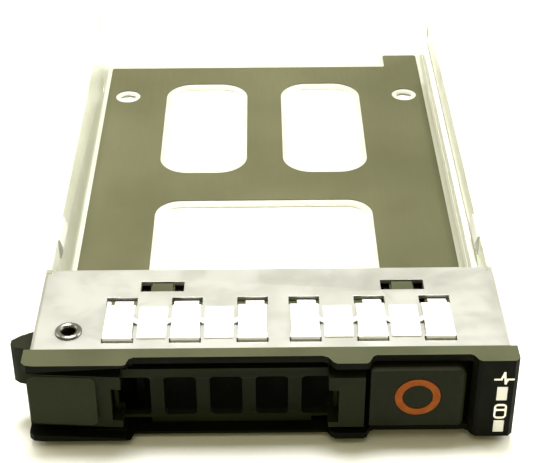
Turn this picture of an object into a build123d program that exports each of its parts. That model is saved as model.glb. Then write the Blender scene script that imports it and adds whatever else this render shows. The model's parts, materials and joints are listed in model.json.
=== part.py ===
from build123d import *
import math
import os

# Working frame while modelling: X right, Y back from the bezel's front, Z up from the tray's underside.
# Parts are exported with the origin moved to the middle of the floor web, ORIGIN_Y behind the bezel front.
ORIGIN_Y = 74.0

# tray
TRAY_HALF = 37.2
SHEET = 1.0
WALL_TOP = 16.3
COVER_SHEET = 0.8
SEAT_TOP = WALL_TOP - COVER_SHEET
TRAY_FRONT = 4.0
TRAY_REAR = 126.7
TAB_REAR = 132.0
TAB_LEFT = 26.5
LEFT_WALL_FRONT = 15.4
LEFT_WALL_REAR = 119.8
RIGHT_WALL_REAR = 124.6
WALL_IN = TRAY_HALF - SHEET

# floor openings of the metal: x0, x1, y0, y1, corner radius
MARGIN = 1.0
OPENINGS = ((-21.2, -5.2, 80.4, 116.6, 5.0), (4.3, 19.8, 80.4, 116.6, 5.0), (-21.1, 19.5, 30.0, 68.1, 4.0))

# film
FILM = 0.15
FILM_LEFT = -35.4
FILM_RIGHT = 35.2
FILM_FRONT = 25.0
FILM_REAR = 125.4

# 2.5-inch drive screw positions
DRIVE_HOLE_X = 30.86
DRIVE_HOLE_Y = (35.4, 112.0)
SCREW_R = 1.7
SCREW_HEAD_R = 2.3
SIDE_HOLE_Z = 4.15

# cover
COVER_FRONT = 3.9
COVER_REAR = 24.7
CLIP_MIDS = (-13.3, 15.95)
FINGER_PITCH = 10.5
FINGER_W = 4.5
SLOT_W = 4.9
PAD_W = 4.6
CLIP_SHEET = 0.2
HOOK_MIDS = (-17.5, 21.6)
RIVET_Y = 19.0
RIVET_Z = 13.4

# bezel
BEZEL_HALF = 38.0
BEZEL_TOP = 16.5
BEZEL_BOTTOM = 1.2
LIP = 1.2
LIP_REAR = 3.75

# lever
PIVOT_X = -31.58
PIVOT_Y = 8.21
EYELET_R = 1.6
EYELET_BORE = 1.1
PIVOT_FIT = 0.05
LEVER_LO = 2.7
LEVER_HI = 12.6
VENT_MIDS = (-21.45, -14.25, -7.05, 0.15, 7.35)
VENT_W = 5.1

# button
BTN_X0 = 15.3
BTN_X1 = 30.1
BTN_Z0 = 3.3
BTN_Z1 = 14.4
BTN_FRONT = 0.3
RING_X = 22.68
RING_Z = 9.18
RING_OUT = 3.55
RING_IN = 2.35


def block(x0, x1, y0, y1, z0, z1):
    size = (x1 - x0, y1 - y0, z1 - z0)
    centre = ((x0 + x1) / 2, (y0 + y1) / 2, (z0 + z1) / 2)
    return Pos(*centre) * Box(*size)


def prism_z(points, z0, z1):
    face = make_face(Polyline(*points, close=True))
    return Pos(0, 0, z0) * extrude(face, amount=z1 - z0, dir=(0, 0, 1))


def prism_x(points_yz, x0, x1):
    face = make_face(Polyline(*[(0, y, z) for y, z in points_yz], close=True))
    return Pos(x0, 0, 0) * extrude(face, amount=x1 - x0, dir=(1, 0, 0))


def prism_y(points_xz, y0, y1):
    face = make_face(Polyline(*[(x, 0, z) for x, z in points_xz], close=True))
    return Pos(0, y0, 0) * extrude(face, amount=y1 - y0, dir=(0, 1, 0))


def round_hole(x0, x1, y0, y1, radius, z0, z1):
    plan = Pos((x0 + x1) / 2, (y0 + y1) / 2, z0) * RectangleRounded(x1 - x0, y1 - y0, radius)
    return extrude(plan, amount=z1 - z0)


def post(x, y, z0, z1, radius):
    return Pos(x, y, (z0 + z1) / 2) * Cylinder(radius, z1 - z0)


def tray():
    outer = Pos(0, WALL_TOP / 2) * Rectangle(2 * TRAY_HALF, WALL_TOP)
    outer = fillet(outer.vertices().group_by(Axis.Y)[0], 1.3)
    inner = Pos(0, SHEET + WALL_TOP / 2) * Rectangle(2 * WALL_IN, WALL_TOP)
    inner = fillet(inner.vertices().group_by(Axis.Y)[0], 0.3)
    channel = Plane.XZ.offset(-TRAY_FRONT) * (outer - inner)
    body = extrude(channel, amount=-(TAB_REAR - TRAY_FRONT))
    body -= block(-40, TAB_LEFT, TRAY_REAR, 140, -1, 20)
    body -= block(-40, 40, 0, COVER_REAR + 0.2, SEAT_TOP, 20)
    body -= block(-40, -30, 0, LEFT_WALL_FRONT, 1.3, 20)
    for foot, top, side in ((TRAY_REAR, LEFT_WALL_REAR, -1), (TAB_REAR, RIGHT_WALL_REAR, 1)):
        beyond = [(foot - 0.4, 1.3), (top, WALL_TOP), (top, 20), (140, 20), (140, 1.3)]
        body -= Pos(side * 35, 0, 0) * prism_x(beyond, -5, 5)
    for x0, x1, y0, y1, radius in OPENINGS:
        body -= round_hole(x0, x1, y0, y1, radius, -1, 2)
    for y in DRIVE_HOLE_Y:
        for side in (-1, 1):
            x = side * DRIVE_HOLE_X
            body -= post(x, y, -1, 2, SCREW_R)
            body -= Pos(x, y, 0.25) * Cone(SCREW_HEAD_R, SCREW_R, 0.5)
            body -= Pos(side * 36.7, y, SIDE_HOLE_Z) * Rot(0, 90, 0) * Cylinder(SCREW_R, 3)
    for side in (-1, 1):
        body -= Pos(side * 36.7, RIVET_Y, RIVET_Z) * Rot(0, 90, 0) * Cylinder(1.2, 3)
    body -= block(35, 38, 117.4, 120.0, 11.7, 14.3)
    body -= post(PIVOT_X, PIVOT_Y, -1, 2, EYELET_R)
    body -= Pos(PIVOT_X, PIVOT_Y, 0.4) * Cone(2.3, EYELET_R, 0.8)
    return body


def floor_film():
    plan = [
        (FILM_LEFT, FILM_FRONT), (FILM_RIGHT, FILM_FRONT), (FILM_RIGHT, TAB_REAR - MARGIN),
        (TAB_LEFT + MARGIN, TAB_REAR - MARGIN), (TAB_LEFT + MARGIN, FILM_REAR), (FILM_LEFT, FILM_REAR),
    ]
    body = prism_z(plan, SHEET, SHEET + FILM)
    body = fillet(body.edges().filter_by(Axis.Z), 0.6)
    for x0, x1, y0, y1, radius in OPENINGS:
        m = MARGIN
        body -= round_hole(x0 - m, x1 + m, y0 - m, y1 + m, radius + m, 0, 2)
    for y in DRIVE_HOLE_Y:
        for side in (-1, 1):
            body -= post(side * DRIVE_HOLE_X, y, 0, 2, 2.7)
    return body


def finger_mids():
    return [mid + step * FINGER_PITCH for mid in CLIP_MIDS for step in (-1, 0, 1)]


def front_cover():
    body = block(-TRAY_HALF, TRAY_HALF, COVER_FRONT, COVER_REAR, SEAT_TOP, WALL_TOP)
    long_edges = body.edges().filter_by(Axis.Y).group_by(Axis.Z)[-1]
    body = fillet(long_edges, 0.7)
    for side in (-1, 1):
        body -= Pos(side * 37.2, COVER_REAR, 16) * Box(2.6, 1.8, 4)
    body += block(-36.15, -35.35, 16.0, 23.5, 11.6, SEAT_TOP + 0.1)
    body += block(35.35, 36.15, 8.0, 23.5, 11.6, SEAT_TOP + 0.1)
    for side in (-1, 1):
        body -= Pos(side * 36, RIVET_Y, RIVET_Z) * Rot(0, 90, 0) * Cylinder(1.2, 3)
    for x in finger_mids():
        body -= block(x - SLOT_W / 2, x + SLOT_W / 2, 15.0, 17.0, 15, 17)
        body -= block(x - SLOT_W / 2, x + SLOT_W / 2, 5.4, 6.5, 15, 17)
    for x in HOOK_MIDS:
        body -= block(x - 3.5, x + 3.5, 18.7, 21.3, 15, 17)
    body -= post(PIVOT_X, PIVOT_Y, 15, 17, EYELET_R)
    return body


def finger(x):
    upper = [
        (5.75, 15.75), (5.75, 16.5), (5.95, 16.82), (6.4, 17.02), (7.5, 17.1), (9.0, 17.08),
        (11.0, 16.92), (13.0, 16.7), (14.8, 16.52),
    ]
    lower = [
        (14.8, 16.33), (13.0, 16.5), (11.0, 16.72), (9.0, 16.88), (7.5, 16.9), (6.5, 16.83),
        (6.15, 16.7), (5.95, 16.45), (5.95, 15.75),
    ]
    tongue = [(14.6, 16.52), (15.2, 16.5), (16.6, 15.9), (16.5, 15.7), (15.15, 16.32), (14.6, 16.33)]
    body = prism_x(upper + lower, x - FINGER_W / 2, x + FINGER_W / 2)
    return body + prism_x(tongue, x - 1.1, x + 1.9)


def emi_clip(mid):
    hi = 16.98
    lo = WALL_TOP + CLIP_SHEET
    half = FINGER_W / 2
    top = []
    for step in (-1, 0, 1):
        x = mid + step * FINGER_PITCH
        top.append((x - half, hi))
        top.append((x + half, hi))
        if step < 1:
            pad = x + FINGER_PITCH / 2
            top.append((pad - PAD_W / 2, lo))
            top.append((pad + PAD_W / 2, lo))
    under = [(x, z - CLIP_SHEET) for x, z in top[::-1]]
    body = prism_y(top + under, 9.8, 11.0)
    for step in (-1, 0, 1):
        body += finger(mid + step * FINGER_PITCH)
    for step in (-0.5, 0.5):
        x = mid + step * FINGER_PITCH
        body += round_hole(x - PAD_W / 2, x + PAD_W / 2, 6.3, 14.3, 0.3, WALL_TOP, lo)
    return body


def lip_outline():
    return [
        (-BEZEL_HALF, LIP_REAR), (-BEZEL_HALF, 0.6), (-37.3, -0.1), (-36.0, -0.3), (-22.6, -0.33),
        (-22.1, -0.1), (-21.7, 1.2), (-21.0, 1.6), (7.9, 1.6), (8.8, 1.2), (9.5, 0.1), (10.1, -0.3),
        (14.5, -0.3), (15.0, 0.0), (15.6, 1.3), (16.2, 1.65), (30.6, 1.65), (31.2, 1.3), (31.7, 0.3),
        (32.2, 0.0), (37.3, 0.0), (BEZEL_HALF, 0.7), (BEZEL_HALF, LIP_REAR),
    ]


def bezel():
    body = prism_z(lip_outline(), BEZEL_TOP - LIP, BEZEL_TOP)
    body += prism_z(lip_outline(), BEZEL_BOTTOM, BEZEL_BOTTOM + LIP)
    end = [(31.0, LIP_REAR), (31.0, 1.5), (31.7, 0.3), (32.2, 0), (37.3, 0), (38, 0.7), (38, LIP_REAR)]
    body += prism_z(end, BEZEL_BOTTOM, BEZEL_TOP)
    body += block(-21.5, 34.5, 2.5, 23.0, 14.5, SEAT_TOP)
    body += block(-21.5, 34.5, 2.5, 23.0, SHEET, 2.2)
    body -= prism_y([(-36.5, 15.2), (-22.0, 15.2), (-22.0, 16.0)], -1.0, 1.2)
    body -= prism_y([(-36.5, 2.5), (-22.0, 2.5), (-22.0, 1.7)], -1.0, 1.2)
    body += block(-35.6, -21.0, 2.5, 23.0, SHEET, 2.2) - post(PIVOT_X, PIVOT_Y, 0, 3, 2.6)
    body -= block(-22.8, 9.2, -1.0, 5.2, 1.4, 2.6)
    body += block(-23.0, 9.4, 1.6, LIP_REAR, 0.85, 1.4)
    body += block(-35.0, -21.0, 15.6, 16.8, 1.5, 15.0)
    body += block(-21.5, 34.5, 21.8, 23.0, 1.5, 15.0)
    body += block(-21.5, -20.3, 8.0, 23.0, 1.5, 15.0)
    body += block(33.3, 34.5, 3.0, 23.0, 1.5, 15.0)
    body += block(18.9, 19.9, 7.0, 22.0, 1.5, 15.0)
    body += block(25.5, 26.5, 7.0, 22.0, 1.5, 15.0)
    for x in (-15.5, -7.0, 1.5, 10.0, 29.9):
        body -= block(x - 2.6, x + 2.6, 21, 24, 3.4, 13.2)
    for x in HOOK_MIDS:
        hook = [(18.95, 15.4), (21.05, 15.4), (21.05, 16.15), (20.3, 16.15), (18.95, 15.7)]
        body += prism_x(hook, x - 1.7, x + 1.7)
        for side in (-1, 1):
            body -= Pos(x + side * 2.7, 19.0, 15.0) * Box(1.5, 6.0, 1.4)
    cup = Pos(RING_X, 19.6, RING_Z) * Rot(90, 0, 0) * Cylinder(2.9, 4.6)
    body += cup - Pos(RING_X, 19.0, RING_Z) * Rot(90, 0, 0) * Cylinder(2.3, 5.4)
    body -= block(34.8, 36.5, -1, 5, 8.5, 11.3)
    body -= block(34.8, 36.5, -1, 5, 2.0, 4.5)
    body -= activity_icon()
    body -= status_icon()
    return body


def activity_icon():
    pts = [(34.35, 12.8), (35.3, 12.8), (35.75, 14.1), (36.0, 12.0), (36.3, 12.8), (37.15, 12.8)]
    body = None
    for (x0, z0), (x1, z1) in zip(pts, pts[1:]):
        length = math.hypot(x1 - x0, z1 - z0) + 0.3
        angle = math.degrees(math.atan2(z1 - z0, x1 - x0))
        bar = Pos((x0 + x1) / 2, 0.15, (z0 + z1) / 2) * Rot(0, -angle, 0) * Box(length, 0.3, 0.32)
        body = bar if body is None else body + bar
    return body


def status_icon():
    can = Pos(35.65, 0.15, 6.35) * Box(2.0, 0.3, 3.0)
    can = fillet(can.edges().filter_by(Axis.Y), 0.7)
    lid = Pos(35.65, 0.15, 7.12) * Box(1.4, 1, 0.6)
    side = Pos(35.65, 0.15, 5.85) * Box(1.4, 1, 1.2)
    for window in (lid, side):
        can -= fillet(window.edges().filter_by(Axis.Y), 0.28)
    return can


def pad_shape():
    def outline(z, proud):
        ends = [(x, 1.6 - 0.0685 * (x + 37.8)) for x in (-37.6, -27.0)]
        front = [(x, y - proud, z) for x, y in ends]
        back = [(x, y + 0.5, z) for x, y in ends[::-1]]
        return make_face(Polyline(*front, *back, close=True))

    body = loft([outline(4.2, 0.95), outline(13.2, 0.1)], ruled=True)
    face = Box(10.6, 10, 9.0)
    face = fillet(face.edges().filter_by(Axis.Y), 1.0)
    return body & (Pos(-32.3, 0, 8.7) * face)


def lever_pad():
    return pad_shape()


def ejector_lever():
    plan = [(-37.8, 1.6), (-23.2, 0.6), (-23.2, 4.9), (-28.0, 8.2), (-31.58, 8.2), (-35.6, 6.5), (-37.8, 4.6)]
    body = prism_z(plan, 3.2, 13.4)
    hollow = [(-36.6, 2.9), (-24.4, 2.1), (-24.4, 20), (-36.6, 20)]
    body -= prism_z(hollow, 4.4, 12.2)
    body -= block(-24.8, -22.0, -1.0, 7.0, 4.6, 10.9)
    body += block(-24.6, 10.5, 3.5, 4.7, LEVER_LO, LEVER_HI)
    body += block(-18.9, 6.4, 3.5, 4.7, 1.7, LEVER_LO + 0.1)
    body += block(-24.6, 14.5, 4.5, 6.3, 11.1, 12.3)
    centre = block(8.9, 14.5, 0.0, 6.3, 3.4, 13.4)
    centre -= block(8.0, 13.3, 1.2, 3.5, 4.4, 11.4)
    centre -= block(8.0, 10.5, -1.0, 7.0, 4.4, 10.9)
    centre -= block(10.5, 13.3, 1.2, 7.0, 4.4, 11.4)
    body += centre
    body += block(14.4, 14.95, 4.2, 6.0, 6.0, 11.0)
    for x in VENT_MIDS:
        slot = Pos(x, 4.1, 7.1) * Box(VENT_W, 1.4, 7.6)
        body -= fillet(slot.edges().filter_by(Axis.Y), 0.7)
    hook = [
        (-31.58, 5.2), (-37.4, 5.4), (-39.7, 6.0), (-40.6, 6.8), (-40.6, 7.8), (-39.2, 9.0),
        (-37.2, 10.0), (-34.0, 11.5), (-31.58, 12.4),
    ]
    body += prism_z(hook, 7.9, 15.1)
    body += post(PIVOT_X, PIVOT_Y, 9.0, 15.1, 4.4)
    body += post(PIVOT_X, PIVOT_Y, LEVER_LO, 4.4, 4.4)
    body += post(PIVOT_X, PIVOT_Y, 4.0, 9.5, 2.9)
    body -= post(PIVOT_X, PIVOT_Y, 0, 20, EYELET_R + PIVOT_FIT)
    body -= pad_shape()
    return body


def pivot_eyelet():
    profile = [
        (EYELET_BORE, 0), (2.3, 0), (EYELET_R, 0.8), (EYELET_R, WALL_TOP), (2.05, WALL_TOP),
        (2.15, WALL_TOP + 0.2), (2.0, WALL_TOP + 0.4), (1.65, WALL_TOP + 0.5), (1.3, WALL_TOP + 0.4),
        (EYELET_BORE, WALL_TOP + 0.1),
    ]
    face = make_face(Polyline(*[(x, 0, z) for x, z in profile], close=True))
    return Pos(PIVOT_X, PIVOT_Y, 0) * revolve(face, Axis.Z)


def coil(radius, pitch, height, wire):
    path = Helix(pitch=pitch, height=height, radius=radius)
    start = Plane(origin=path @ 0, z_dir=path % 0)
    return sweep(start * Circle(wire), path=path)


def lever_spring():
    body = coil(3.35, 0.85, 2.125, 0.35)
    body += Pos(4.45, 0, 0) * Rot(0, 90, 0) * Cylinder(0.3, 2.2)
    body += Pos(-4.45, 0, 2.125) * Rot(0, 90, 0) * Cylinder(0.3, 2.2)
    return Pos(PIVOT_X, PIVOT_Y, 4.85) * Rot(0, 0, -30) * body


def release_button():
    outline = [
        (BTN_X0, BTN_Z0), (BTN_X1, BTN_Z0), (BTN_X1, BTN_Z1 - 1.2), (BTN_X1 - 0.4, BTN_Z1 - 0.4),
        (BTN_X1 - 1.2, BTN_Z1), (BTN_X0, BTN_Z1),
    ]
    body = prism_y(outline, BTN_FRONT, 5.0)
    front_right = body.edges().filter_by(Axis.Z).group_by(Axis.Y)[0].sort_by(Axis.X)[-1]
    body = chamfer(front_right, 0.6)
    body -= block(BTN_X0 + 1.2, BTN_X1 - 1.2, 1.6, 6, BTN_Z0 + 1.2, BTN_Z1 - 1.4)
    body += block(20.2, 25.2, 1.0, 13.5, 6.6, 11.8)
    ring = Pos(RING_X, BTN_FRONT, RING_Z) * Rot(90, 0, 0) * (Cylinder(RING_OUT, 1) - Cylinder(RING_IN, 1))
    return body - ring


def button_ring():
    ring = Cylinder(RING_OUT, 0.6) - Cylinder(RING_IN, 0.6)
    return Pos(RING_X, BTN_FRONT + 0.2, RING_Z) * Rot(90, 0, 0) * ring


def button_spring():
    body = coil(1.7, 0.95, 5.7, 0.25)
    return Pos(RING_X, 13.75, RING_Z) * Rot(-90, 0, 0) * body


def light_pipe_activity():
    body = block(34.8, 36.5, 0.05, LIP_REAR, 8.5, 11.3)
    body += block(35.05, 36.1, LIP_REAR, 118.0, 8.9, 10.9)
    return body


def light_pipe_status():
    body = block(34.8, 36.5, 0.05, LIP_REAR, 2.0, 4.5)
    path = [
        (LIP_REAR, 2.4), (10.0, 2.4), (20.0, 6.1), (118.0, 6.1), (118.0, 7.9), (19.4, 7.9),
        (9.4, 4.3), (LIP_REAR, 4.3),
    ]
    return body + prism_x(path, 35.05, 36.1)


def cover_rivet(side):
    shank = Pos(side * 36.275, RIVET_Y, RIVET_Z) * Rot(0, 90, 0) * Cylinder(1.2, 1.85)
    head = Pos(side * 35.15, RIVET_Y, RIVET_Z) * Rot(0, 90, 0) * Cylinder(2.0, 0.4)
    return shank + head


def ground_clip(side):
    leaf = [(0.0, 15.9), (0.0, 12.0), (-0.25, 12.0), (-0.7, 13.6), (-0.7, 14.3), (-0.25, 15.9)]
    face = [(side * (WALL_IN + dx), z) for dx, z in leaf]
    return prism_y(face, 34.2, 41.2)


PARTS = {
    "tray": tray(),
    "floor_film": floor_film(),
    "front_cover": front_cover(),
    "emi_clip_left": emi_clip(CLIP_MIDS[0]),
    "emi_clip_right": emi_clip(CLIP_MIDS[1]),
    "bezel": bezel(),
    "ejector_lever": ejector_lever(),
    "lever_pad": lever_pad(),
    "pivot_eyelet": pivot_eyelet(),
    "lever_spring": lever_spring(),
    "release_button": release_button(),
    "button_ring": button_ring(),
    "button_spring": button_spring(),
    "light_pipe_activity": light_pipe_activity(),
    "light_pipe_status": light_pipe_status(),
    "activity_icon": activity_icon(),
    "status_icon": status_icon(),
    "cover_rivet_left": cover_rivet(-1),
    "cover_rivet_right": cover_rivet(1),
    "ground_clip_left": ground_clip(-1),
    "ground_clip_right": ground_clip(1),
}

os.makedirs("parts", exist_ok=True)
for name, shape in PARTS.items():
    export_step(Pos(0, -ORIGIN_Y, 0) * shape, f"parts/{name}.step")
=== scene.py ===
import bpy
import bmesh
import json
import math
from mathutils import Matrix, Vector


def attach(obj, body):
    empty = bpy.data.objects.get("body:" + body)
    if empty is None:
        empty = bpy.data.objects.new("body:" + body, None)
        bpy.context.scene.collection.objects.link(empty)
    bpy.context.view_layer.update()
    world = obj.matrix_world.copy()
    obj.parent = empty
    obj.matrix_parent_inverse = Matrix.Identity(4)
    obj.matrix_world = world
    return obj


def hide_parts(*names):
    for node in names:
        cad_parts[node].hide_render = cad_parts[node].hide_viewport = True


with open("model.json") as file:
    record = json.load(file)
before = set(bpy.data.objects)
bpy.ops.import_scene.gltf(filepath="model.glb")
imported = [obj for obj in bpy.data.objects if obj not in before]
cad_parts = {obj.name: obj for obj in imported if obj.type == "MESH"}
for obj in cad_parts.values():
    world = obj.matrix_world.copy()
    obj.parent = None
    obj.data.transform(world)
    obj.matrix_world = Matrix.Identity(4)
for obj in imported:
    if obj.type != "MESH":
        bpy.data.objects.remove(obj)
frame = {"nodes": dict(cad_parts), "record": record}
NODES = frame["nodes"]

# lengths are in metres unless a name says otherwise
FRONT = -0.074                      # y of the bezel's front face

# mesh finishing
WELD = 2e-6
FLAT_ANGLE = math.radians(0.6)
BEVEL_ANGLE = math.radians(28)
BEVEL_SEGMENTS = 2
SHARP_ANGLE = math.radians(40)

# painted top light: plastic faces that look up and lie above a height get a lighter painted tone,
# fading in below it
LIT_TOP_HEIGHT = 0.0135
LIT_TOP_FADE = 0.0003
PLASTIC_GRAIN = 0.00035
PLASTIC_BUMP = 0.18
EDGE_RUB = 0.35

# stage and camera
FLOOR_HALF = 3.0
WORLD_COLOUR = (1.0, 0.92, 0.42, 1)
WORLD_STRENGTH = 0.36
CAMERA_PLACE = (-0.0012, -0.16323 + FRONT, 0.15196)
PITCH = 0.5986
YAW = 0.007
ROLL = -0.0047
LENS_MM = 92.93
SENSOR_MM = 36.0
NEAR_CLIP = 0.01
LIGHT_TARGET = Vector((0, 0, 0))


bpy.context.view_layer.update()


# ---------------------------------------------------------------- materials

class Graph:
    """A small helper that writes shader nodes and links them."""

    def __init__(self, name):
        self.mat = bpy.data.materials.new(name)
        self.mat.use_nodes = True
        self.tree = self.mat.node_tree
        self.shader = self.tree.nodes["Principled BSDF"]
        self.coords = self.tree.nodes.new("ShaderNodeTexCoord").outputs["Object"]
        self.heights = []

    def link(self, source, target):
        self.tree.links.new(source, target)

    def scaled(self, scale):
        node = self.tree.nodes.new("ShaderNodeMapping")
        node.inputs["Scale"].default_value = scale
        self.link(self.coords, node.inputs["Vector"])
        return node.outputs["Vector"]

    def noise(self, size, detail, stretch=(1, 1, 1), rough=0.55):
        node = self.tree.nodes.new("ShaderNodeTexNoise")
        node.inputs["Scale"].default_value = 1.0
        node.inputs["Detail"].default_value = detail
        node.inputs["Roughness"].default_value = rough
        self.link(self.scaled([s / size for s in stretch]), node.inputs["Vector"])
        return node.outputs["Fac"]

    def ramp(self, value, low, high, at=(0.35, 0.65)):
        node = self.tree.nodes.new("ShaderNodeMapRange")
        node.interpolation_type = "SMOOTHSTEP"
        node.inputs["From Min"].default_value = at[0]
        node.inputs["From Max"].default_value = at[1]
        node.inputs["To Min"].default_value = low
        node.inputs["To Max"].default_value = high
        self.link(value, node.inputs["Value"])
        return node.outputs["Result"]

    def mix(self, fac, a, b):
        node = self.tree.nodes.new("ShaderNodeMix")
        node.data_type = "RGBA"
        self.link(fac, node.inputs[0])
        for socket, colour in ((node.inputs[6], a), (node.inputs[7], b)):
            if isinstance(colour, tuple):
                socket.default_value = (*colour, 1)
            else:
                self.link(colour, socket)
        return node.outputs[2]

    def combine(self, operation, a, b):
        node = self.tree.nodes.new("ShaderNodeMath")
        node.operation = operation
        self.link(a, node.inputs[0])
        self.link(b, node.inputs[1])
        return node.outputs[0]

    def edges(self, low, high):
        geometry = self.tree.nodes.new("ShaderNodeNewGeometry")
        return self.ramp(geometry.outputs["Pointiness"], 0.0, 1.0, (low, high))

    def split_z(self, vector):
        split = self.tree.nodes.new("ShaderNodeSeparateXYZ")
        self.link(vector, split.inputs["Vector"])
        return split.outputs["Z"]

    def painted_top_light(self):
        """Painted top light: 1 on faces that look up and lie above the lit-top height, 0 elsewhere."""
        geometry = self.tree.nodes.new("ShaderNodeNewGeometry")
        facing = self.ramp(self.split_z(geometry.outputs["True Normal"]), 0.0, 1.0, (0.75, 0.98))
        high = self.ramp(self.split_z(self.coords), 0.0, 1.0, (LIT_TOP_HEIGHT - LIT_TOP_FADE, LIT_TOP_HEIGHT))
        return self.combine("MULTIPLY", facing, high)

    def bump(self, height, strength, distance):
        node = self.tree.nodes.new("ShaderNodeBump")
        node.inputs["Strength"].default_value = strength
        node.inputs["Distance"].default_value = distance
        self.link(height, node.inputs["Height"])
        if self.heights:
            self.link(self.heights[-1], node.inputs["Normal"])
        self.heights.append(node.outputs["Normal"])

    def done(self, colour, roughness, metallic=0.0, **fixed):
        self.link(colour, self.shader.inputs["Base Color"])
        self.link(roughness, self.shader.inputs["Roughness"])
        self.shader.inputs["Metallic"].default_value = metallic
        for name, value in fixed.items():
            self.shader.inputs[name.replace("_", " ")].default_value = value
        self.link(self.heights[-1], self.shader.inputs["Normal"])
        return self.mat


def sheet_metal(name, light, dark, rough, grain=(1, 1, 0.02), streak=0.35, metallic=1.0):
    g = Graph(name)
    lines = g.noise(0.0004, 3, grain)
    cloud = g.noise(0.018, 5)
    smudge = g.noise(0.006, 6, rough=0.7)
    tone = g.mix(g.ramp(cloud, 0, 1), light, dark)
    tone = g.mix(g.ramp(lines, 0, streak), tone, tuple(c * 0.8 for c in dark))
    tone = g.mix(g.edges(0.51, 0.6), tone, tuple(min(1, c * 1.12) for c in light))
    roughness = g.combine("ADD", g.ramp(smudge, rough - 0.05, rough + 0.06),
                          g.ramp(lines, -0.1 * streak, 0.12 * streak))
    g.bump(lines, 0.25 * streak, 0.00004)
    g.bump(cloud, 0.15 * streak, 0.0004)
    return g.done(tone, roughness, metallic)


def moulded(name, light, dark, rough, top_light_tone, gloss):
    g = Graph(name)
    fine = g.noise(PLASTIC_GRAIN, 3)
    cloud = g.noise(0.012, 5)
    dust = g.noise(0.0022, 6, rough=0.75)
    tone = g.mix(g.ramp(cloud, 0, 1), dark, light)
    tone = g.mix(g.ramp(fine, 0, 0.3), tone, tuple(c * 1.5 for c in light))
    tone = g.mix(g.ramp(dust, 0, 0.35, (0.6, 0.78)), tone, tuple(c * 2.4 for c in light))
    worn = g.ramp(g.edges(0.52, 0.62), 0, EDGE_RUB, (0, 1))
    tone = g.mix(worn, tone, tuple(c * 2.2 for c in light))
    # painted top light: the lighter tone on high up-facing faces stands in for light falling on them
    lit_top = g.mix(g.ramp(cloud, 0, 1), top_light_tone, tuple(c * 0.8 for c in top_light_tone))
    tone = g.mix(g.painted_top_light(), tone, lit_top)
    roughness = g.combine("ADD", g.ramp(dust, rough - 0.05, rough + 0.1), g.ramp(fine, -0.05, 0.05))
    g.bump(fine, PLASTIC_BUMP, 0.00006)
    return g.done(tone, roughness, Specular_IOR_Level=gloss)


def insulating_film(name):
    g = Graph(name)
    fine = g.noise(0.00025, 2)
    cloud = g.noise(0.03, 4)
    scuff = g.noise(0.0012, 5, (1, 0.12, 1), 0.7)
    tone = g.mix(g.ramp(cloud, 0, 1), (0.100, 0.099, 0.049), (0.122, 0.120, 0.061))
    tone = g.mix(g.ramp(scuff, 0, 0.3, (0.66, 0.82)), tone, (0.34, 0.33, 0.22))
    roughness = g.combine("ADD", g.ramp(cloud, 0.36, 0.46), g.ramp(scuff, -0.04, 0.10, (0.4, 0.8)))
    g.bump(fine, 0.12, 0.00003)
    g.bump(cloud, 0.06, 0.0006)
    return g.done(tone, roughness, Specular_IOR_Level=0.3)


def clear_guide_painted_glow(name):
    g = Graph(name)
    cloud = g.noise(0.004, 4)
    fine = g.noise(0.0006, 4)
    tone = g.mix(g.ramp(cloud, 0, 1), (0.93, 0.93, 0.84), (0.96, 0.96, 0.90))
    g.bump(fine, 0.03, 0.00003)
    # painted glow: a faint cream emission makes the guide shine though no lamp lights it
    return g.done(tone, g.ramp(fine, 0.30, 0.38), Transmission_Weight=0.12, IOR=1.49,
                  Emission_Color=(1.0, 0.98, 0.80, 1), Emission_Strength=0.05)


def printed(name, colour, dark, painted_glow=0.0, gloss=0.5):
    g = Graph(name)
    cloud = g.noise(0.0008, 4)
    fine = g.noise(0.0002, 3)
    tone = g.mix(g.ramp(cloud, 0, 1), colour, dark)
    g.bump(fine, 0.15, 0.00003)
    # painted glow: the emission makes printed marks shine though they are no lamp
    return g.done(tone, g.ramp(fine, 0.42, 0.58), Specular_IOR_Level=gloss,
                  Emission_Color=(*colour, 1), Emission_Strength=painted_glow)


def studio_floor(name):
    g = Graph(name)
    cloud = g.noise(0.25, 3)
    fine = g.noise(0.0012, 4)
    tone = g.mix(g.ramp(cloud, 0, 1), (0.93, 0.915, 0.865), (0.95, 0.94, 0.90))
    g.bump(fine, 0.03, 0.0001)
    return g.done(tone, g.ramp(fine, 0.5, 0.6), Specular_IOR_Level=0.25)


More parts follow.
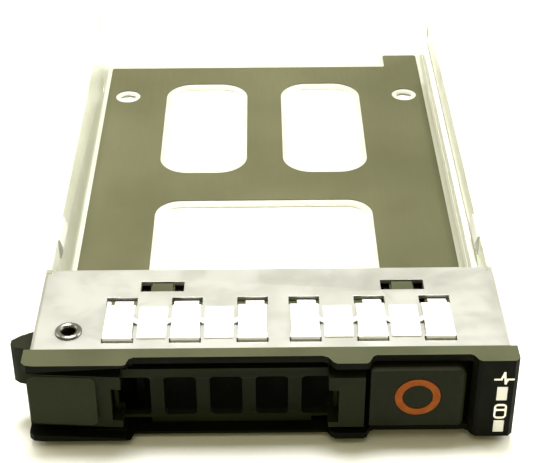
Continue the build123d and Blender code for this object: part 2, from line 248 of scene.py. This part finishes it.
# tones of the painted top light on high up-facing plastic faces
BEZEL_TOP_LIGHT = (0.088, 0.093, 0.052)
DIM_TOP_LIGHT = (0.02, 0.021, 0.012)
MATS = {
    "tray_metal": sheet_metal("tray_steel", (0.80, 0.81, 0.74), (0.74, 0.75, 0.68), 0.46, streak=0.2,
                              metallic=0.7),
    "cover_metal": sheet_metal("cover_steel", (0.445, 0.445, 0.42), (0.42, 0.42, 0.397), 0.5,
                               grain=(0.02, 1, 1), streak=0.09),
    "spring_metal": sheet_metal("contact_spring_tin", (0.98, 0.98, 0.96), (0.96, 0.955, 0.93), 0.38,
                                grain=(0.02, 1, 1), streak=0.05, metallic=0.55),
    "eyelet_metal": sheet_metal("eyelet_nickel", (0.27, 0.27, 0.25), (0.21, 0.21, 0.20), 0.28),
    "spring_wire": sheet_metal("spring_wire_steel", (0.62, 0.62, 0.60), (0.45, 0.45, 0.44), 0.3,
                               grain=(1, 1, 1)),
    "film": insulating_film("insulating_film"),
    "bezel_plastic": moulded("bezel_moulding", (0.0038, 0.0044, 0.0020), (0.0024, 0.0028, 0.0012), 0.5,
                             BEZEL_TOP_LIGHT, 0.05),
    "lever_plastic": moulded("lever_moulding", (0.009, 0.011, 0.0036), (0.006, 0.0075, 0.0024), 0.48,
                             DIM_TOP_LIGHT, 0.07),
    # thumb pad: a lighter copy of the lever moulding, its extra brightness painted light standing in
    # for its upward-tilted face
    "pad_plastic_lit": moulded("thumb_pad_moulding_lit", (0.022, 0.026, 0.012), (0.017, 0.020, 0.009), 0.48,
                           DIM_TOP_LIGHT, 0.07),
    "button_plastic": moulded("button_moulding", (0.0105, 0.013, 0.0045), (0.008, 0.0098, 0.0032), 0.45,
                              DIM_TOP_LIGHT, 0.07),
    "ring_plastic": printed("ring_orange", (0.30, 0.075, 0.005), (0.25, 0.056, 0.004), gloss=0.1),
    "clear_plastic": clear_guide_painted_glow("light_guide_painted_glow"),
    # painted glow: the printed icons emit a cream light so they read as lit
    "icon_print": printed("icon_print", (0.92, 0.91, 0.78), (0.86, 0.85, 0.72), painted_glow=0.3),
}
SLOT = {s["node"]: s["material_slot"] for s in frame["record"]["subparts"]}
FINISH = dict(SLOT, lever_pad="pad_plastic_lit")
BODY = {n: body for body, members in frame["record"]["behaviour"]["bodies"].items() for n in members}


def dress(obj, slot):
    obj.data.materials.clear()
    obj.data.materials.append(MATS[slot])


# ---------------------------------------------------------------- pieces from the frame

def refined(node, bevel):
    """A copy of a CAD node's mesh with welded points, rolled edges and even shading."""
    obj = bpy.data.objects.new(node + "_skin", NODES[node].data.copy())
    bpy.context.scene.collection.objects.link(obj)
    mesh = bmesh.new()
    mesh.from_mesh(obj.data)
    bmesh.ops.remove_doubles(mesh, verts=mesh.verts, dist=WELD)
    bmesh.ops.dissolve_limit(mesh, angle_limit=FLAT_ANGLE, verts=mesh.verts, edges=mesh.edges)
    mesh.to_mesh(obj.data)
    mesh.free()
    if obj.data.has_custom_normals:
        with bpy.context.temp_override(object=obj, active_object=obj):
            bpy.ops.mesh.customdata_custom_splitnormals_clear()
    mod = obj.modifiers.new("rolled_edges", "BEVEL")
    mod.width = bevel
    mod.segments = BEVEL_SEGMENTS
    mod.limit_method = "ANGLE"
    mod.angle_limit = BEVEL_ANGLE
    mod.use_clamp_overlap = True
    mod.harden_normals = True
    obj.data.shade_smooth()
    obj.data.set_sharp_from_angle(angle=SHARP_ANGLE)
    dress(obj, FINISH[node])
    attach(obj, BODY[node])
    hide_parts(node)


BEVELS = {
    "tray": 0.00012, "front_cover": 0.00012, "bezel": 0.00028, "ejector_lever": 0.00025,
    "lever_pad": 0.0002, "release_button": 0.00022, "button_ring": 0.00006, "pivot_eyelet": 0.00008,
    "emi_clip_left": 0.00004, "emi_clip_right": 0.00004, "light_pipe_activity": 0.0001,
    "light_pipe_status": 0.0001, "cover_rivet_left": 0.0001, "cover_rivet_right": 0.0001,
    "ground_clip_left": 0.00004, "ground_clip_right": 0.00004,
}
for node_name, width in BEVELS.items():
    refined(node_name, width)
for node_name in sorted(set(NODES) - set(BEVELS)):
    dress(NODES[node_name], FINISH[node_name])


# ---------------------------------------------------------------- stage, light, camera

def floor():
    """A square of white table that the part stands on."""
    mesh = bpy.data.meshes.new("studio_floor")
    r = FLOOR_HALF
    mesh.from_pydata([(-r, -r, 0), (r, -r, 0), (r, r, 0), (-r, r, 0)], [], [(0, 1, 2, 3)])
    obj = bpy.data.objects.new("studio_floor", mesh)
    bpy.context.scene.collection.objects.link(obj)
    obj.data.materials.append(studio_floor("studio_floor"))


floor()


def softbox(name, place, size, power, colour):
    """A rectangular area light aimed at the part."""
    data = bpy.data.lights.new(name, "AREA")
    data.shape = "RECTANGLE"
    data.size = size[0]
    data.size_y = size[1]
    data.energy = power
    data.color = colour
    obj = bpy.data.objects.new(name, data)
    bpy.context.scene.collection.objects.link(obj)
    obj.location = place
    obj.rotation_euler = (LIGHT_TARGET - Vector(place)).to_track_quat("-Z", "Y").to_euler()


softbox("backdrop_glow", (0.0, 1.1, 0.75), (2.2, 1.3), 3.2, (1.0, 1.0, 0.98))
softbox("overhead", (0.0, 0.16, 1.0), (0.36, 0.26), 12.0, (0.98, 0.99, 1.0))
softbox("front_top", (0.0, -0.4, 1.0), (0.5, 0.3), 0.9, (1.0, 0.99, 0.95))
softbox("fill_left", (-0.7, 0.2, 0.5), (0.5, 0.5), 3.0, (1.0, 1.0, 0.97))
softbox("fill_right", (0.7, 0.2, 0.5), (0.5, 0.5), 6.0, (1.0, 1.0, 0.97))

world = bpy.data.worlds.new("studio")
world.use_nodes = True
background = world.node_tree.nodes["Background"]
background.inputs["Color"].default_value = WORLD_COLOUR
background.inputs["Strength"].default_value = WORLD_STRENGTH
bpy.context.scene.world = world
bpy.context.scene.view_settings.view_transform = "Standard"

forward = Vector((math.sin(YAW) * math.cos(PITCH), math.cos(YAW) * math.cos(PITCH), -math.sin(PITCH)))
right = Vector((math.cos(YAW), -math.sin(YAW), 0))
up = right.cross(forward)
right_rolled = right * math.cos(ROLL) + up * math.sin(ROLL)
up_rolled = up * math.cos(ROLL) - right * math.sin(ROLL)
lens = bpy.data.cameras.new("front_view")
lens.sensor_fit = "HORIZONTAL"
lens.sensor_width = SENSOR_MM
lens.lens = LENS_MM
lens.clip_start = NEAR_CLIP
camera = bpy.data.objects.new("front_view", lens)
bpy.context.scene.collection.objects.link(camera)
turn = Matrix((right_rolled, up_rolled, -forward)).transposed()
camera.matrix_world = Matrix.Translation(CAMERA_PLACE) @ turn.to_4x4()
bpy.context.scene.camera = camera
